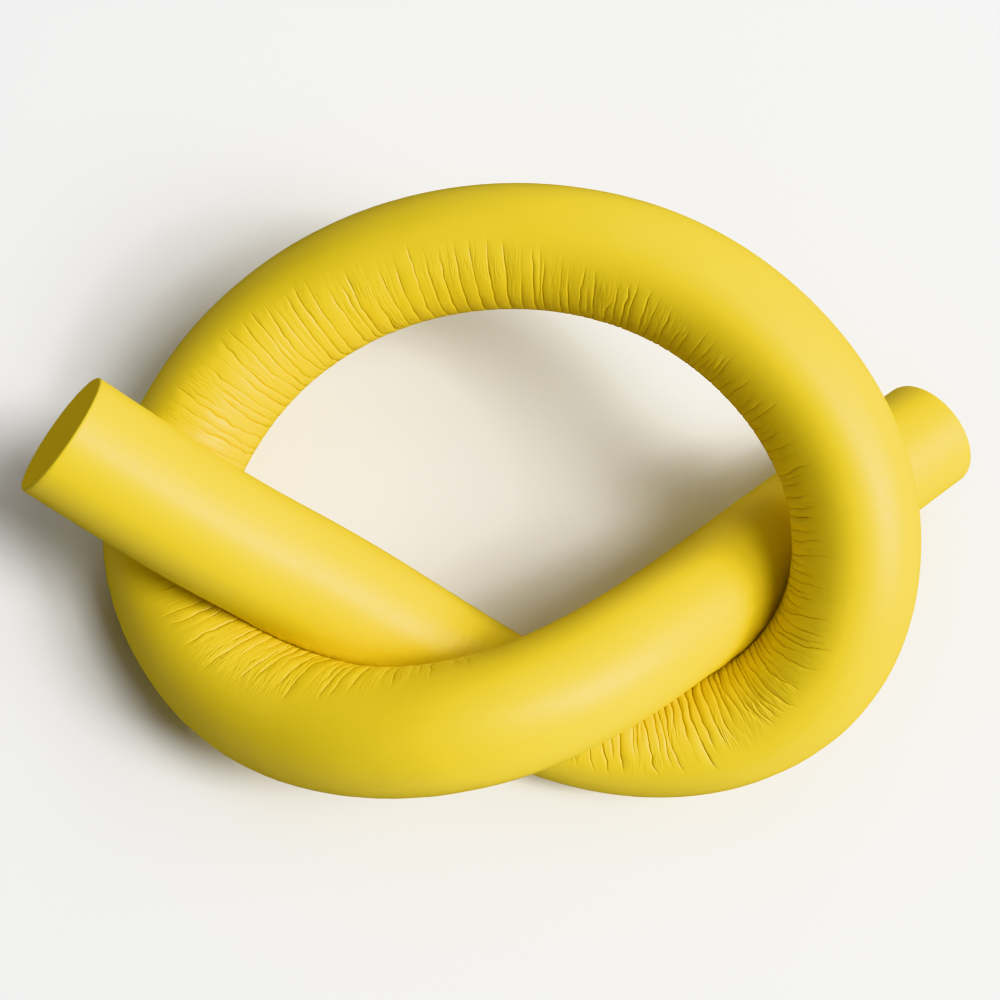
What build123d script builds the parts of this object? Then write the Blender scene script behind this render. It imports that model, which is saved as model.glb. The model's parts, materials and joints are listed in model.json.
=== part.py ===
"""A solid swim noodle, 60 mm thick and 1.5 m long, tied in one overhand knot and lying on a table.

Frame: millimetres, +Z up, the table is Z = 0, and the origin is under the middle of the knot.
The noodle touches the table at three places: the strand under the lower crossing, the left side
of the loop, and the rim of the right end.
"""
import os
from math import pi, radians, tan

from build123d import *

# Driving dimensions
NOODLE_DIAMETER = 60
SKIN_THICKNESS = 0.5
RIM_RADIUS = 1.0  # rounding of the two ends
CORNER_SHARE = 0.45  # part of the shorter run that each arc takes up

NOODLE_RADIUS = NOODLE_DIAMETER / 2
CORE_RADIUS = NOODLE_RADIUS - SKIN_THICKNESS

# The knot's middle line, from the left end to the right end
KNOT_ROUTE = [
    # left tail, over the left side of the loop
    (-223, 8.5, 118.5),
    (-161, -24, 91.5),
    (-98, -47, 62),
    # down to the table, under the lower crossing
    (-44, -73, 38),
    (8, -100, 28.5),
    (58, -112, 34),
    # right side of the loop, climbing over the right tail
    (103, -108, 52),
    (136, -86, 81),
    (149, -46, 107),
    (141, 7, 127),
    # top of the loop
    (105, 60, 135),
    (51, 100, 130),
    (-15, 118, 111),
    (-80, 111, 85),
    (-133, 82, 57),
    # left side of the loop, on the table and under the left tail
    (-168, 35, 36),
    (-181, -16, 29),
    (-164, -65, 33),
    (-129, -103, 51),
    # over the lower crossing
    (-81, -118, 78),
    (-29, -113, 97),
    (22, -90, 95),
    # right tail, down through the loop to the table
    (77, -53, 73),
    (146, 0, 43),
    (222.5, 55.5, 30),
]


def shortened(route, trim):
    """The same route with both of its ends drawn in by trim."""
    points = [Vector(*point) for point in route]
    first = points[0] + (points[1] - points[0]).normalized() * trim
    last = points[-1] + (points[-2] - points[-1]).normalized() * trim
    return [first, *points[1:-1], last]


def corner_radii(route):
    """The largest arc that each corner of the route has room for."""
    points = [Vector(*point) for point in route]
    radii = []
    for before, corner, after in zip(points, points[1:], points[2:]):
        run_in = corner - before
        run_out = after - corner
        half_turn = radians(run_in.get_angle(run_out)) / 2
        reach = CORNER_SHARE * min(run_in.length, run_out.length)
        radii.append(reach / tan(half_turn))
    return radii


def report_rod(name, line, radius, volume):
    """Prints a rod's length, and its volume beside section times length."""
    length = sum(edge.length for edge in line.edges())
    expected = pi * radius**2 * length
    print(f"{name}: {length:.1f} mm long, {volume:.0f} mm3 beside {expected:.0f} mm3")


os.makedirs("parts", exist_ok=True)
bend_radii = corner_radii(KNOT_ROUTE)
core_route = shortened(KNOT_ROUTE, SKIN_THICKNESS)

# Closed-cell foam rod, which the skin encloses all over
with BuildPart() as foam_core:
    with BuildLine() as core_line:
        FilletPolyline(*core_route, radius=bend_radii)
    with BuildSketch(Plane(origin=core_line.line @ 0, z_dir=core_line.line % 0)):
        Circle(CORE_RADIUS)
    sweep()
    core_volume = foam_core.part.volume
    core_ends = foam_core.faces().filter_by(GeomType.PLANE)
    fillet(core_ends.edges(), radius=RIM_RADIUS - SKIN_THICKNESS)

# Smooth skin, one closed jacket over the foam's side and both of its ends
with BuildPart() as outer_skin:
    with BuildLine() as skin_line:
        FilletPolyline(*KNOT_ROUTE, radius=bend_radii)
    with BuildSketch(Plane(origin=skin_line.line @ 0, z_dir=skin_line.line % 0)):
        Circle(NOODLE_RADIUS)
    sweep()
    noodle_volume = outer_skin.part.volume
    skin_ends = outer_skin.faces().filter_by(GeomType.PLANE)
    fillet(skin_ends.edges(), radius=RIM_RADIUS)
    add(foam_core.part, mode=Mode.SUBTRACT)

print("bend radii in mm:", [round(radius) for radius in bend_radii])
report_rod("foam core", core_line, CORE_RADIUS, core_volume)
report_rod("whole noodle", skin_line, NOODLE_RADIUS, noodle_volume)

foam_core.part.label = "foam_core"
outer_skin.part.label = "outer_skin"
export_step(foam_core.part, "parts/foam_core.step")
export_step(outer_skin.part, "parts/outer_skin.step")
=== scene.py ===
"""Looks of the swim noodle that is tied in an overhand knot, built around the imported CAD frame.

Metres, +Z up, and the floor is Z = 0. The noodle follows one NURBS line, whose control points are the
middle line's points of the CAD model. Two meshes are wrapped round that line: the skin, and the foam
inside it. Where the noodle bends, its inner side is squeezed and folds into creases that run round it.
The skin's rings follow those creases, so that each fold is real geometry, and on the straight tails and
on the outer side of the bends, where the skin is smooth, the mesh is coarse.
"""

import json
from copy import copy
from math import cos, pi, radians, sin

import bpy
import numpy as np
from mathutils import Matrix, Vector


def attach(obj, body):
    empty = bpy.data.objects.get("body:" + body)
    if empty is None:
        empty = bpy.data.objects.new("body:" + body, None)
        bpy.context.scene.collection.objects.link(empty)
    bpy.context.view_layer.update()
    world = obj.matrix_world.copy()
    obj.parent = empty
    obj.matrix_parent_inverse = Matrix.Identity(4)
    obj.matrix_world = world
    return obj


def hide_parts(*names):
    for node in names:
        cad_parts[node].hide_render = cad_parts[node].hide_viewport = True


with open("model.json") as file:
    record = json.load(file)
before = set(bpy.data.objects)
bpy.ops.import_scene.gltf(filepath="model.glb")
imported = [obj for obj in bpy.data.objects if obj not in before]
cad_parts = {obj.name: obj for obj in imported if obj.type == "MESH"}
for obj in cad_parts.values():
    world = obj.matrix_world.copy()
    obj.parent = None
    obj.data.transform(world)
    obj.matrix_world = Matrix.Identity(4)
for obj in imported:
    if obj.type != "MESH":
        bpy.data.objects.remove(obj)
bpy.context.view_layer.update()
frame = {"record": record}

MM = 0.001
record = frame["record"]
RADIUS = next(mount for mount in record["mounts"] if mount["kind"] == "pin")["dims"]["r_mm"] * MM
SKIN_THICKNESS = 0.5 * MM
RIM = 1.0 * MM  # rounding of the two cut ends

# The middle line's control points, from the left end to the right end
ROUTE = [
    # left tail, over the left side of the loop
    (-0.223, 0.0085, 0.1185),
    (-0.161, -0.024, 0.0915),
    (-0.098, -0.047, 0.062),
    # down to the floor, under the lower crossing
    (-0.044, -0.073, 0.038),
    (0.008, -0.100, 0.0285),
    (0.058, -0.112, 0.034),
    # right side of the loop, climbing over the right tail
    (0.103, -0.108, 0.052),
    (0.136, -0.086, 0.081),
    (0.149, -0.046, 0.107),
    (0.141, 0.007, 0.127),
    # top of the loop
    (0.105, 0.060, 0.135),
    (0.051, 0.100, 0.130),
    (-0.015, 0.118, 0.111),
    (-0.080, 0.111, 0.085),
    (-0.133, 0.082, 0.057),
    # left side of the loop, on the floor and under the left tail
    (-0.168, 0.035, 0.036),
    (-0.181, -0.016, 0.029),
    (-0.164, -0.065, 0.033),
    (-0.129, -0.103, 0.051),
    # over the lower crossing
    (-0.081, -0.118, 0.078),
    (-0.029, -0.113, 0.097),
    (0.022, -0.090, 0.095),
    # right tail, down through the loop to the floor
    (0.077, -0.053, 0.073),
    (0.146, 0.000, 0.043),
    (0.2225, 0.0555, 0.030),
]

# Camera
VIEW_TARGET = Vector((-0.0213, -0.0062, 0.0904))
VIEW_PLACE = Vector((-0.1604, -0.2075, 0.8844))
VIEW_LENS = 63.2

# Creases
SEED = 7
LONG_GAPS = (3.8 * MM, 8.8 * MM)  # from one long crease to the next, along the middle line
CROWDED_END = 0.46  # up to this distance along the noodle the creases lie closer together
CROWDED = 0.72  # how much closer
PLAIN_GAP = 11 * MM  # distance between rings where the skin is smooth
LEAST_GAP = 1.0 * MM  # creases come no nearer to each other than this
DEPTH = 0.66 * MM  # of a long crease
BULGE = 0.10 * MM  # how far the skin swells between creases
JITTER, DRIFT, SWAY = 0.42, 0.75, 2.4  # how far creases wander in short, middling and long waves, in mm
REACH = radians(95)  # how far round from the inside of the bend the creases go
# The same on the upper side: distance along the noodle, and degrees
UPPER_REACH = [
    (0.43, 95), (0.51, 66), (0.61, 68), (0.69, 84), (0.76, 100), (0.92, 98),
    (1.00, 84), (1.12, 84), (1.18, 92), (1.24, 70),
]
# How fast creases lean forward on the upper side: distance along the noodle, and mm per square radian
UPPER_LEAN = [
    (0.28, 3.6), (0.42, 3.6), (0.52, 0), (0.92, 0), (1.02, -2.4), (1.12, -2.4), (1.20, 0),
]
# How deep the creases are: distance along the noodle, and share of the full depth
DEPTH_SHARE = [(0.46, 1.1), (0.56, 0.95), (0.70, 1.0), (0.94, 0.7), (1.04, 0.85)]
FAN = radians(116)  # the mesh is fine within this angle of the inside of the bend
SQUEEZE_RANGE = (0.08, 0.22)  # radius over bend radius where creases begin, and where they are full

# Rings of the mesh at one crease: distance from its valley, and share of its depth
LONG_PROFILE = [(-0.85 * MM, 0.0), (-0.30 * MM, 0.30), (0, 1.0), (0.30 * MM, 0.30), (0.85 * MM, 0.0)]
SHORT_PROFILE = [(-0.4 * MM, 0.1), (0, 1.0), (0.4 * MM, 0.1)]
FOAM_LONG_PROFILE = [(0, 1.0), (3.2 * MM, 0.0)]
FOAM_SHORT_PROFILE = [(0, 1.0)]

# Contact between two strands
CLOSED_GAP = 1.6 * MM  # a gap up to this is pressed shut
OPEN_GAP = 6.0 * MM  # a gap over this stays as it is
HAIRLINE = 0.08 * MM  # left between skins that are pressed together
OWN_STRAND = 120 * MM  # the noodle doesn't press on itself nearer than this, along its line

# Colours, each as the two ends of a soft variation
SKIN_COLOURS = (0.79, 0.59, 0.046), (0.83, 0.62, 0.054)
# the cut ends' yellow is darker than the foam's own colour: painted shade
CUT_COLOURS_WITH_PAINTED_SHADE = (0.62, 0.42, 0.018), (0.69, 0.47, 0.025)
FOAM_COLOURS = (0.84, 0.62, 0.10), (0.93, 0.76, 0.22)
FLOOR_COLOUR = (0.82, 0.82, 0.82, 1)
ROOM_COLOUR = (1, 1, 1, 1)

# Lights: name, azimuth and elevation in degrees, size in metres, power in watts, and whether the noodle
# mirrors it. Azimuth 0 is in front of the knot, and 90 is to its right.
KNOT_MIDDLE = Vector((0, 0, 0.08))
LIGHT_DISTANCE = 4
LIGHTS = [
    ("key", 70, 55, 1.5, 60, True),
    ("key_low", 70, 40, 1.5, 85, True),
    ("overhead", 70, 70, 1.5, 60, True),
    ("right_back", 110, 40, 1.5, 25, True),
    ("right_low", 90, 40, 1.5, 30, True),
    ("behind", 180, 25, 1.5, 15, False),
    ("overhead_back", 180, 60, 3, 20, False),
]
ROOM_LIGHT = 0.125


# ---------------------------------------------------------------- small helpers

def blurred(values, width):
    """Gaussian blur along the first axis, which keeps the ends of a line where they are."""
    reach = int(3 * width) + 1
    weights = np.exp(-0.5 * (np.arange(-reach, reach + 1) / width) ** 2)
    weights /= weights.sum()
    before = 2 * values[0] - values[reach:0:-1]
    after = 2 * values[-1] - values[-2:-reach - 2:-1]
    padded = np.concatenate([before, values, after])
    columns = padded.reshape(len(padded), -1).T
    result = np.array([np.convolve(column, weights, "valid") for column in columns])
    return result.T.reshape(values.shape)


def smooth_step(value, low, high):
    """0 below low, 1 above high, and a smooth change between them."""
    t = np.clip((value - low) / (high - low), 0, 1)
    return t * t * (3 - 2 * t)


def unit(vectors):
    """The same directions, each of length one."""
    return vectors / np.linalg.norm(vectors, axis=-1, keepdims=True)


# ---------------------------------------------------------------- the noodle's middle line

LINE_STEP = 0.5 * MM
LINE_BLUR, BEND_BLUR, INNER_BLUR = 6 * MM, 12 * MM, 14 * MM
LEFT_TAIL = 205 * MM
RIGHT_TAIL = 225 * MM


def route_points():
    """Points along the NURBS line that has ROUTE as its control points."""
    curve = bpy.data.curves.new("noodle_route", "CURVE")
    curve.dimensions = "3D"
    curve.resolution_u = 48
    spline = curve.splines.new("NURBS")
    spline.points.add(len(ROUTE) - 1)
    for point, place in zip(spline.points, ROUTE):
        point.co = (*place, 1)
    spline.order_u = 3
    spline.use_endpoint_u = True
    guide = bpy.data.objects.new("noodle_route", curve)
    mesh = bpy.data.meshes.new_from_object(guide)
    points = np.array([vertex.co for vertex in mesh.vertices])
    bpy.data.objects.remove(guide)
    bpy.data.curves.remove(curve)
    bpy.data.meshes.remove(mesh)
    return points


class MiddleLine:
    """The line at equal steps, with its direction and the side that faces the inside of each bend."""

    def __init__(self):
        points = route_points()
        run = np.append(0, np.cumsum(np.linalg.norm(np.diff(points, axis=0), axis=1)))
        self.length = run[-1]
        self.along = np.linspace(0, self.length, int(self.length / LINE_STEP) + 1)
        points = np.stack([np.interp(self.along, run, axis) for axis in points.T], axis=1)
        step = self.along[1]
        self.points = blurred(points, LINE_BLUR / step)
        self.direction = unit(np.gradient(self.points, step, axis=0))
        turning = blurred(np.gradient(self.direction, step, axis=0), BEND_BLUR / step)
        self.bend = np.linalg.norm(turning, axis=1)
        # the straight tails have no inside of a bend, so they carry on the nearest bend's
        inner = blurred(turning, INNER_BLUR / step)
        first, last = np.searchsorted(self.along, (LEFT_TAIL, self.length - RIGHT_TAIL))
        inner = inner[np.clip(np.arange(len(inner)), first, last)]
        inner -= np.sum(inner * self.direction, axis=1)[:, None] * self.direction
        self.inner = unit(inner)
        self.side = np.cross(self.direction, self.inner)

    def at(self, values, along):
        """One of the line's arrays, at distances along it."""
        if values.ndim == 1:
            return np.interp(along, self.along, values)
        return np.stack([np.interp(along, self.along, axis) for axis in values.T], axis=-1)


# ---------------------------------------------------------------- creases

def ring_angles():
    """Angles round the noodle, from the inside of the bend, close together where creases are."""
    lower = np.linspace(-FAN, 0, 22, endpoint=False)
    upper = np.linspace(0, FAN, 38)
    outer = np.linspace(FAN, 2 * pi - FAN, 13)[1:-1]
    return np.concatenate([lower, upper, outer])


def random_wiggle(rng, count, angles, knot_gap):
    """For each of count lines, a random value that changes in straight steps with kinks round the noodle."""
    knots = np.arange(-pi, pi + knot_gap, knot_gap)
    rows = []
    for _ in range(count):
        shifted = knots + rng.uniform(-0.3, 0.3, len(knots)) * knot_gap
        rows.append(np.interp(angles, shifted, rng.normal(size=len(knots))))
    return np.array(rows)


class Creases:
    """Where each crease runs, and how deep it is, at each angle round the noodle."""

    def __init__(self, line, angles):
        rng = np.random.default_rng(SEED)
        squeeze = line.bend * RADIUS
        self.turned = (angles + pi) % (2 * pi) - pi
        self.places, self.is_long = self.spaced_places(rng, line, squeeze)
        self.strength = smooth_step(line.at(squeeze, self.places), *SQUEEZE_RANGE)[:, None]
        self.lines = self.wandering_lines(rng)
        self.upper_reach = radians(1) * np.interp(self.places, *zip(*UPPER_REACH))[:, None]
        self.depth = self.depths(rng)
        inside = np.minimum(REACH + self.turned, self.upper_reach - self.turned) + radians(6)
        self.squeezed = self.strength * smooth_step(inside, 0, radians(30))

    def at_columns(self, step):
        """The same creases at every so many angles."""
        fewer = copy(self)
        for name in ("turned", "lines", "depth", "squeezed"):
            setattr(fewer, name, getattr(self, name)[..., ::step])
        return fewer

    def spaced_places(self, rng, line, squeeze):
        """Distances along the line at which creases cross the inside of the bend, and which are long."""
        place, places, is_long = RIM + 2 * MM, [], []
        while place < line.length - RIM - 2 * MM:
            places.append(place)
            is_long.append(True)
            if line.at(squeeze, place + LONG_GAPS[0]) < SQUEEZE_RANGE[0]:
                place += PLAIN_GAP
                continue
            gap = rng.uniform(*LONG_GAPS) * (CROWDED if place < CROWDED_END else 1)
            between = rng.integers(0, 2 + (gap > 6 * MM))
            for number in range(between):
                share = (number + 1 + rng.uniform(-0.25, 0.25)) / (between + 1)
                places.append(place + gap * share)
                is_long.append(False)
            place += gap
        return np.array(places), np.array(is_long)

    def wandering_lines(self, rng):
        """The creases' distances along the line, one row each: they wander, and never cross."""
        count = len(self.places)
        jitter = random_wiggle(rng, count, self.turned, radians(8))
        drift = random_wiggle(rng, count, self.turned, radians(30))
        sway = blurred(random_wiggle(rng, count, self.turned, radians(55)), 7)
        wander = (JITTER * jitter + DRIFT * drift + SWAY * sway) * MM
        calm = smooth_step(FAN - np.abs(self.turned), 0, radians(20))
        lean = MM * np.interp(self.places, *zip(*UPPER_LEAN))[:, None] * np.maximum(self.turned, 0) ** 2
        lean *= smooth_step(pi - self.turned, 0, radians(80))
        lines = self.places[:, None] + (wander * calm + lean) * self.strength
        steps = np.arange(count)[:, None] * LEAST_GAP
        return np.maximum.accumulate(lines - steps, axis=0) + steps

    def depths(self, rng):
        """Long creases go right round the inside of the bend, and short ones cover a small stretch."""
        count, is_long = len(self.places), self.is_long
        upper = self.upper_reach[:, 0]
        share = rng.choice([-1, 1], count) * rng.uniform(0.1, 1, count) ** 0.5
        middle = np.where(is_long, 0, 0.9 * share * np.where(share < 0, REACH, upper))
        half = np.where(is_long, REACH, radians(1) * rng.uniform(8, 30, count))
        start = np.maximum(middle - half, -REACH) * rng.uniform(0.78, 1.06, count)
        end = np.minimum(middle + half, upper) * rng.uniform(0.8, 1.06, count)
        end *= np.where(rng.random(count) < 0.25, rng.uniform(0.5, 0.8, count), 1)
        size = np.where(is_long, rng.uniform(0.6, 1.1, count), rng.uniform(0.2, 0.6, count))
        fade = np.where(is_long, radians(17), radians(12))[:, None]
        within = smooth_step((self.turned - start[:, None]) / fade, 0, 1)
        within *= smooth_step((end[:, None] - self.turned) / fade, 0, 1)
        uneven = 1 + 0.3 * random_wiggle(rng, count, self.turned, radians(16))
        deeper = 1 + 0.4 * smooth_step(radians(65) - np.abs(self.turned), 0, radians(50))
        size *= DEPTH * np.interp(self.places, *zip(*DEPTH_SHARE))
        return size[:, None] * within * np.clip(uneven, 0.25, 1.5) * deeper * self.strength


# ---------------------------------------------------------------- meshes

def noodle_rings(creases, long_profile, short_profile):
    """Distance along the line, height over the skin, crease number and share of its depth, ring by ring."""
    lines, depth = creases.lines, creases.depth
    ends = PLAIN_GAP * np.ones_like(lines[:1])
    before = np.diff(lines, axis=0, prepend=lines[:1] - ends)
    after = np.diff(lines, axis=0, append=lines[-1:] + ends)
    along, heights, owner, shares = [], [], [], []
    for number, is_long in enumerate(creases.is_long):
        for offset, share in long_profile if is_long else short_profile:
            room = before[number] if offset < 0 else after[number]
            along.append(lines[number] + np.sign(offset) * np.minimum(abs(offset), 0.45 * room))
            swell = BULGE * creases.squeezed[number] * np.clip(room / (6 * MM), 0.2, 1.3) * (1 - share)
            heights.append(swell - share * depth[number])
            owner.append(number)
            shares.append(share)
    return np.array(along), np.array(heights), np.array(owner), np.array(shares)


def wrapped(line, along, turned, radii):
    """Points at distances along the line, angles round it and distances from it."""
    turn = np.broadcast_to(turned, along.shape)[..., None]
    across = np.cos(turn) * unit(line.at(line.inner, along)) + np.sin(turn) * unit(line.at(line.side, along))
    return line.at(line.points, along) + radii[..., None] * across


def pressed_together(line, points, along):
    """Points near another strand move towards it or away from it, so that the two skins meet halfway."""
    every = int(2 * MM / LINE_STEP)
    samples, places = line.points[::every], line.along[::every]
    moved = []
    for row, row_along in zip(points, along):
        apart = np.linalg.norm(row[:, None] - samples, axis=2)
        apart[np.abs(row_along[:, None] - places) < OWN_STRAND] = np.inf
        nearest = np.argmin(apart, axis=1)
        distance = apart[np.arange(len(row)), nearest]
        gap = distance - RADIUS
        shift = 0.5 * (gap - HAIRLINE) * (1 - smooth_step(gap, CLOSED_GAP, OPEN_GAP))
        moved.append(row + (samples[nearest] - row) * (shift / distance)[:, None])
    return np.array(moved)


def cut_end(line, turned, radius, place, outward):
    """Rings of one cut end, from its middle out to where the noodle's side begins."""
    flat = [(0, share * (radius - RIM)) for share in (0.3, 0.6, 0.85, 0.96)]
    turns = [radians(angle) for angle in (0, 30, 60, 90)]
    rim = [(RIM - RIM * cos(turn), radius - RIM + RIM * sin(turn)) for turn in turns]
    rings = flat + rim
    along = np.array([np.full(len(turned), place - outward * back) for back, _ in rings])
    radii = np.array([np.full(len(turned), ring_radius) for _, ring_radius in rings])
    return along, radii


def grid_faces(index):
    """Faces between neighbouring rings, with triangles where two corners are the same vertex."""
    after = np.roll(index, -1, axis=1)
    quads = np.stack([index[:-1], after[:-1], after[1:], index[1:]], axis=-1).reshape(-1, 4)
    faces = (list(dict.fromkeys(quad)) for quad in quads.tolist())
    return [face for face in faces if len(face) > 2]


def noodle_mesh(name, line, creases, columns, inset, long_profile, short_profile):
    """One closed mesh round the line, whose surface is inset below the skin's outer face.

    On the outer side of the bends, all rings of one crease share the vertices of its valley.
    """
    creases = creases.at_columns(columns)
    turned = creases.turned
    radius = RADIUS - inset
    side_along, heights, owner, shares = noodle_rings(creases, long_profile, short_profile)
    side = pressed_together(line, wrapped(line, side_along, turned, radius + heights), side_along)
    start_along, start_radii = cut_end(line, turned, radius, inset, -1)
    end_along, end_radii = cut_end(line, turned, radius, line.length - inset, 1)
    start = wrapped(line, start_along, turned, start_radii)
    end = wrapped(line, end_along, turned, end_radii)[::-1]
    grid = np.concatenate([start, side, end])
    along = np.concatenate([start_along, side_along, end_along[::-1]])
    squeezed = np.concatenate([0 * start_along, creases.squeezed[owner], 0 * end_along])

    index = np.arange(grid.shape[0] * grid.shape[1]).reshape(grid.shape[:2])
    valley = np.array([np.argmax(np.where(owner == number, shares, -1)) for number in owner])
    outer = np.abs(turned) > FAN + radians(1)
    merged = np.ix_(len(start) + np.arange(len(side)), outer)
    index[merged] = index[np.ix_(len(start) + valley, outer)]
    faces = grid_faces(index)
    first_centre, last_centre = grid[..., 0].size, grid[..., 0].size + 1
    faces += [[first_centre, after, before] for before, after in zip(index[0], np.roll(index[0], -1))]
    faces += [[last_centre, before, after] for before, after in zip(index[-1], np.roll(index[-1], -1))]

    used, corners = np.unique(np.concatenate(faces), return_inverse=True)
    splits = np.cumsum([len(face) for face in faces])[:-1]
    centres = [grid[0].mean(axis=0), grid[-1].mean(axis=0)]
    vertices = np.concatenate([grid.reshape(-1, 3), centres])[used]
    mesh = bpy.data.meshes.new(name)
    mesh.from_pydata(vertices.tolist(), [], [part.tolist() for part in np.split(corners, splits)])
    mesh.shade_smooth()

    # shader coordinates: along the noodle and round it in metres, and how squeezed the skin is
    around = np.broadcast_to(turned * RADIUS, along.shape)
    place = np.stack([along.ravel(), around.ravel(), 0 * along.ravel()], axis=1)
    place = np.concatenate([place, [[0, 0, 0], [line.length, 0, 0]]])[used]
    mesh.attributes.new("place", "FLOAT_VECTOR", "POINT").data.foreach_set("vector", place.ravel())
    squeeze = np.append(squeezed.ravel(), [0, 0])[used]
    mesh.attributes.new("squeezed", "FLOAT", "POINT").data.foreach_set("value", squeeze)

    # the valley of each crease is a sharp line
    ring = np.full(grid.shape[:2], -1)
    deep = (shares[:, None] == 1) & (creases.depth[owner] > 0.1 * MM)
    ring[len(start):len(start) + len(side)] = np.where(deep, owner[:, None], -1)
    ring = np.append(ring.ravel(), [-1, -1])[used]
    pairs = np.empty(2 * len(mesh.edges), int)
    mesh.edges.foreach_get("vertices", pairs)
    rings = ring[pairs.reshape(-1, 2)]
    mesh.edges.foreach_set("use_edge_sharp", (rings[:, 0] == rings[:, 1]) & (rings[:, 0] >= 0))

    piece = bpy.data.objects.new(name, mesh)
    bpy.context.collection.objects.link(piece)
    return piece


# ---------------------------------------------------------------- materials

class Material:
    """A node material, made by calls that each add one node."""

    def __init__(self, name):
        self.data = bpy.data.materials.new(name)
        self.data.use_nodes = True
        self.tree = self.data.node_tree
        self.shader = self.tree.nodes["Principled BSDF"]

    def node(self, kind, **settings):
        """A new node of this kind."""
        made = self.tree.nodes.new("ShaderNode" + kind)
        for name, value in settings.items():
            setattr(made, name, value)
        return made

    def feed(self, socket, value):
        """Gives a socket a constant, or another node's output."""
        if isinstance(value, bpy.types.NodeSocket):
            self.tree.links.new(value, socket)
        else:
            socket.default_value = value

    def attribute(self, name, output):
        """Values that the mesh holds at its vertices."""
        return self.node("Attribute", attribute_name=name).outputs[output]

    def math(self, operation, *values):
        """One sum of constants or sockets."""
        made = self.node("Math", operation=operation)
        for socket, value in zip(made.inputs, values):
            self.feed(socket, value)
        return made.outputs[0]

    def stretched(self, vector, scale):
        """Coordinates times a scale for each axis."""
        made = self.node("VectorMath", operation="MULTIPLY")
        self.feed(made.inputs[0], vector)
        made.inputs[1].default_value = scale
        return made.outputs[0]

    def noise(self, vector, detail=2.0):
        """Soft random values from 0 to 1."""
        made = self.node("TexNoise")
        self.feed(made.inputs["Vector"], vector)
        made.inputs["Scale"].default_value = 1
        made.inputs["Detail"].default_value = detail
        return made.outputs["Fac"]

    def ramp(self, value, low, high, to_low, to_high):
        """A value between low and high, moved to the other range."""
        made = self.node("MapRange", interpolation_type="SMOOTHSTEP")
        for name, given in zip(("Value", "From Min", "From Max", "To Min", "To Max"),
                               (value, low, high, to_low, to_high)):
            self.feed(made.inputs[name], given)
        return made.outputs["Result"]

    def blend(self, share, first, second):
        """A colour between two colours."""
        made = self.node("Mix", data_type="RGBA")
        self.feed(made.inputs["Factor"], share)
        colors = [socket for socket in made.inputs if socket.type == "RGBA"]
        colors[0].default_value = (*first, 1)
        colors[1].default_value = (*second, 1)
        return next(socket for socket in made.outputs if socket.type == "RGBA")

    def bump(self, height_mm):
        """Bump from a height in millimetres."""
        made = self.node("Bump")
        made.inputs["Strength"].default_value = 1
        made.inputs["Distance"].default_value = MM
        self.feed(made.inputs["Height"], height_mm)
        self.feed(self.shader.inputs["Normal"], made.outputs["Normal"])


def skin_material():
    """Satin yellow skin, with a faint grain, and fine wrinkles between the modelled creases."""
    skin = Material("noodle_skin")
    place = skin.attribute("place", "Vector")
    squeezed = skin.attribute("squeezed", "Fac")
    cloud = skin.noise(skin.stretched(place, (14, 22, 1)))
    skin.feed(skin.shader.inputs["Base Color"],
              skin.blend(skin.ramp(cloud, 0.3, 0.7, 0, 1), *SKIN_COLOURS))
    speckle = skin.noise(skin.stretched(place, (260, 260, 1)))
    skin.feed(skin.shader.inputs["Roughness"], skin.ramp(speckle, 0.3, 0.7, 0.40, 0.46))
    skin.shader.inputs["Specular IOR Level"].default_value = 0.4
    wrinkle = skin.noise(skin.stretched(place, (420, 55, 1)), detail=1.0)
    ridge = skin.math("ABSOLUTE", skin.math("SUBTRACT", wrinkle, 0.5))
    furrow = skin.ramp(ridge, 0.0, 0.10, -0.14, 0.0)
    patches = skin.ramp(skin.noise(skin.stretched(place, (60, 40, 1))), 0.42, 0.62, 0, 1)
    folds = skin.math("MULTIPLY", skin.math("MULTIPLY", furrow, squeezed), patches)
    grain = skin.math("MULTIPLY", skin.noise(skin.stretched(place, (1500, 1500, 1))), 0.012)
    orange_peel = skin.math("MULTIPLY", skin.noise(skin.stretched(place, (230, 180, 1))), 0.05)
    skin.bump(skin.math("ADD", folds, skin.math("ADD", grain, orange_peel)))
    return skin.data


def cut_material():
    """The flat cut ends: the foam's yellow darkened as painted shade, dull and slightly rough."""
    cut = Material("noodle_cut_face_painted_shade")
    place = cut.node("TexCoord").outputs["Object"]
    cells = cut.noise(cut.stretched(place, (900, 900, 900)), detail=3)
    # the darker yellow of the cut ends is painted shade
    cut.feed(cut.shader.inputs["Base Color"], cut.blend(cells, *CUT_COLOURS_WITH_PAINTED_SHADE))
    cut.shader.inputs["Roughness"].default_value = 0.9
    cut.shader.inputs["Specular IOR Level"].default_value = 0.1
    cut.bump(cut.math("MULTIPLY", cells, 0.1))
    return cut.data


def foam_material():
    """Pale yellow closed-cell foam, dull and finely pitted."""
    foam = Material("noodle_foam")
    place = foam.attribute("place", "Vector")
    cells = foam.noise(foam.stretched(place, (900, 900, 1)), detail=3)
    foam.feed(foam.shader.inputs["Base Color"], foam.blend(cells, *FOAM_COLOURS))
    foam.shader.inputs["Roughness"].default_value = 0.85
    foam.bump(foam.math("MULTIPLY", cells, 0.2))
    return foam.data


def paint_cut_faces(piece, material, line):
    """Gives the flat face at each end of the noodle its own material."""
    piece.data.materials.append(material)
    for middle, outward in ((line.points[0], -line.direction[0]), (line.points[-1], line.direction[-1])):
        middle, outward = Vector(middle), Vector(outward)
        for polygon in piece.data.polygons:
            if (polygon.center - middle).length < RADIUS and polygon.normal.dot(outward) > 0.99:
                polygon.material_index = 1


def dress(piece, material, node):
    """Gives a piece its material and body, in place of its CAD node."""
    piece.data.materials.append(material)
    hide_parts(node)
    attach(piece, "root")


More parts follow.
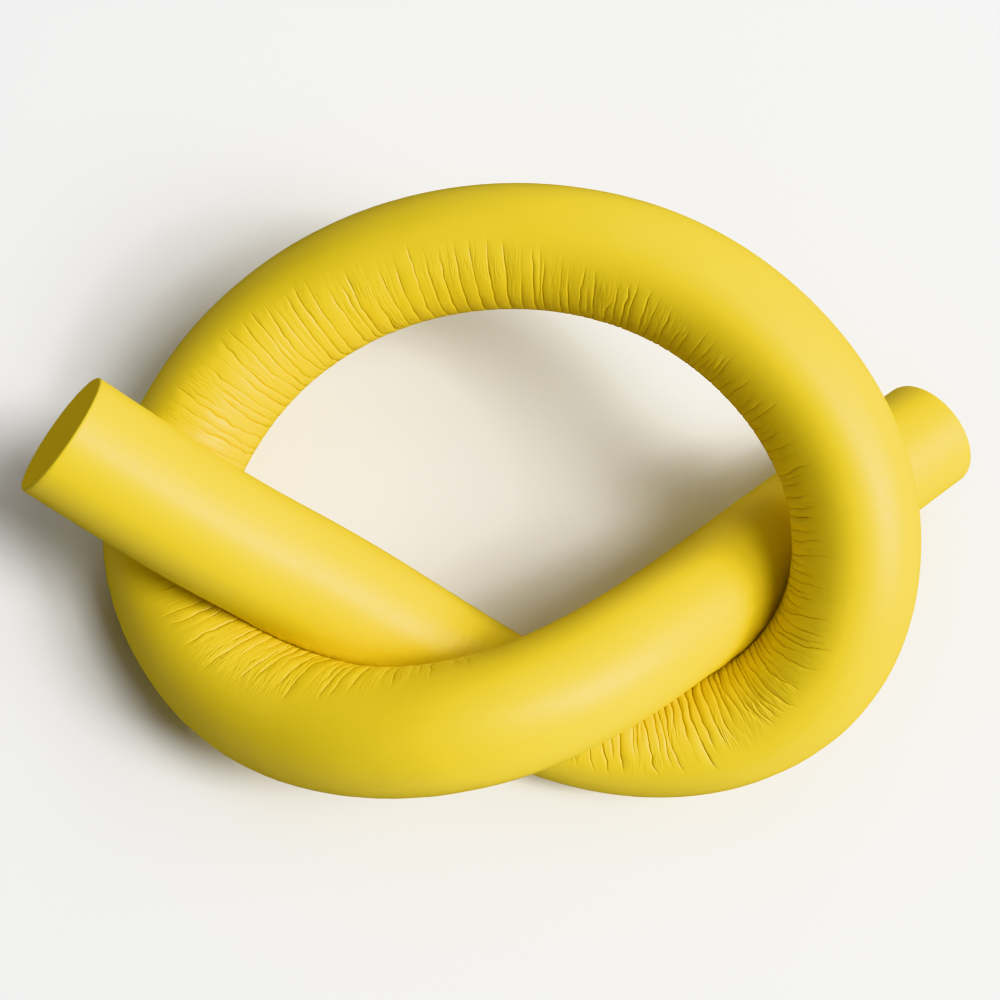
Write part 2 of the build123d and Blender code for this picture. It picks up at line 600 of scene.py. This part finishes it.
line = MiddleLine()
creases = Creases(line, ring_angles())
skin = noodle_mesh("noodle_skin", line, creases, 1, 0, LONG_PROFILE, SHORT_PROFILE)
foam = noodle_mesh("noodle_foam", line, creases, 2, SKIN_THICKNESS, FOAM_LONG_PROFILE, FOAM_SHORT_PROFILE)
dress(skin, skin_material(), "outer_skin")
dress(foam, foam_material(), "foam_core")
paint_cut_faces(skin, cut_material(), line)


# ---------------------------------------------------------------- floor, camera and lights

def floor():
    """A plain pale floor, which the noodle doesn't mirror."""
    half = 6
    mesh = bpy.data.meshes.new("floor")
    mesh.from_pydata([(-half, -half, 0), (half, -half, 0), (half, half, 0), (-half, half, 0)], [], [(0, 1, 2, 3)])
    plane = bpy.data.objects.new("floor", mesh)
    bpy.context.collection.objects.link(plane)
    material = Material("floor")
    material.shader.inputs["Base Color"].default_value = FLOOR_COLOUR
    material.shader.inputs["Roughness"].default_value = 0.9
    mesh.materials.append(material.data)
    plane.visible_glossy = False


def camera():
    """Looks steeply down on the knot, with the picture's right side square to the Y axis."""
    data = bpy.data.cameras.new("camera")
    data.sensor_width = 36
    data.lens = VIEW_LENS
    data.clip_start, data.clip_end = 0.01, 50
    back = (VIEW_PLACE - VIEW_TARGET).normalized()
    right = Vector((0, 1, 0)).cross(back).normalized()
    turn = Matrix((right, back.cross(right), back)).transposed().to_4x4()
    item = bpy.data.objects.new("camera", data)
    item.matrix_world = Matrix.Translation(VIEW_PLACE) @ turn
    bpy.context.collection.objects.link(item)
    bpy.context.scene.camera = item


def area_light(name, azimuth, elevation, size, power, mirrored):
    """A soft round light that faces the knot."""
    around, above = radians(azimuth), radians(elevation)
    away = Vector((sin(around) * cos(above), -cos(around) * cos(above), sin(above)))
    data = bpy.data.lights.new(name, "AREA")
    data.shape = "DISK"
    data.size = size
    data.energy = power
    item = bpy.data.objects.new(name, data)
    item.visible_glossy = mirrored
    item.location = KNOT_MIDDLE + away * LIGHT_DISTANCE
    item.rotation_mode = "QUATERNION"
    item.rotation_quaternion = (-away).to_track_quat("-Z", "Y")
    bpy.context.collection.objects.link(item)


def surroundings():
    """A plain grey room, whose even light fills the shadows. The noodle doesn't mirror it."""
    room = bpy.data.worlds.new("room")
    room.use_nodes = True
    background = room.node_tree.nodes["Background"]
    background.inputs["Color"].default_value = ROOM_COLOUR
    background.inputs["Strength"].default_value = ROOM_LIGHT
    room.cycles_visibility.glossy = False
    bpy.context.scene.world = room


floor()
camera()
for light in LIGHTS:
    area_light(*light)
surroundings()
bpy.context.scene.view_settings.view_transform = "Khronos PBR Neutral"
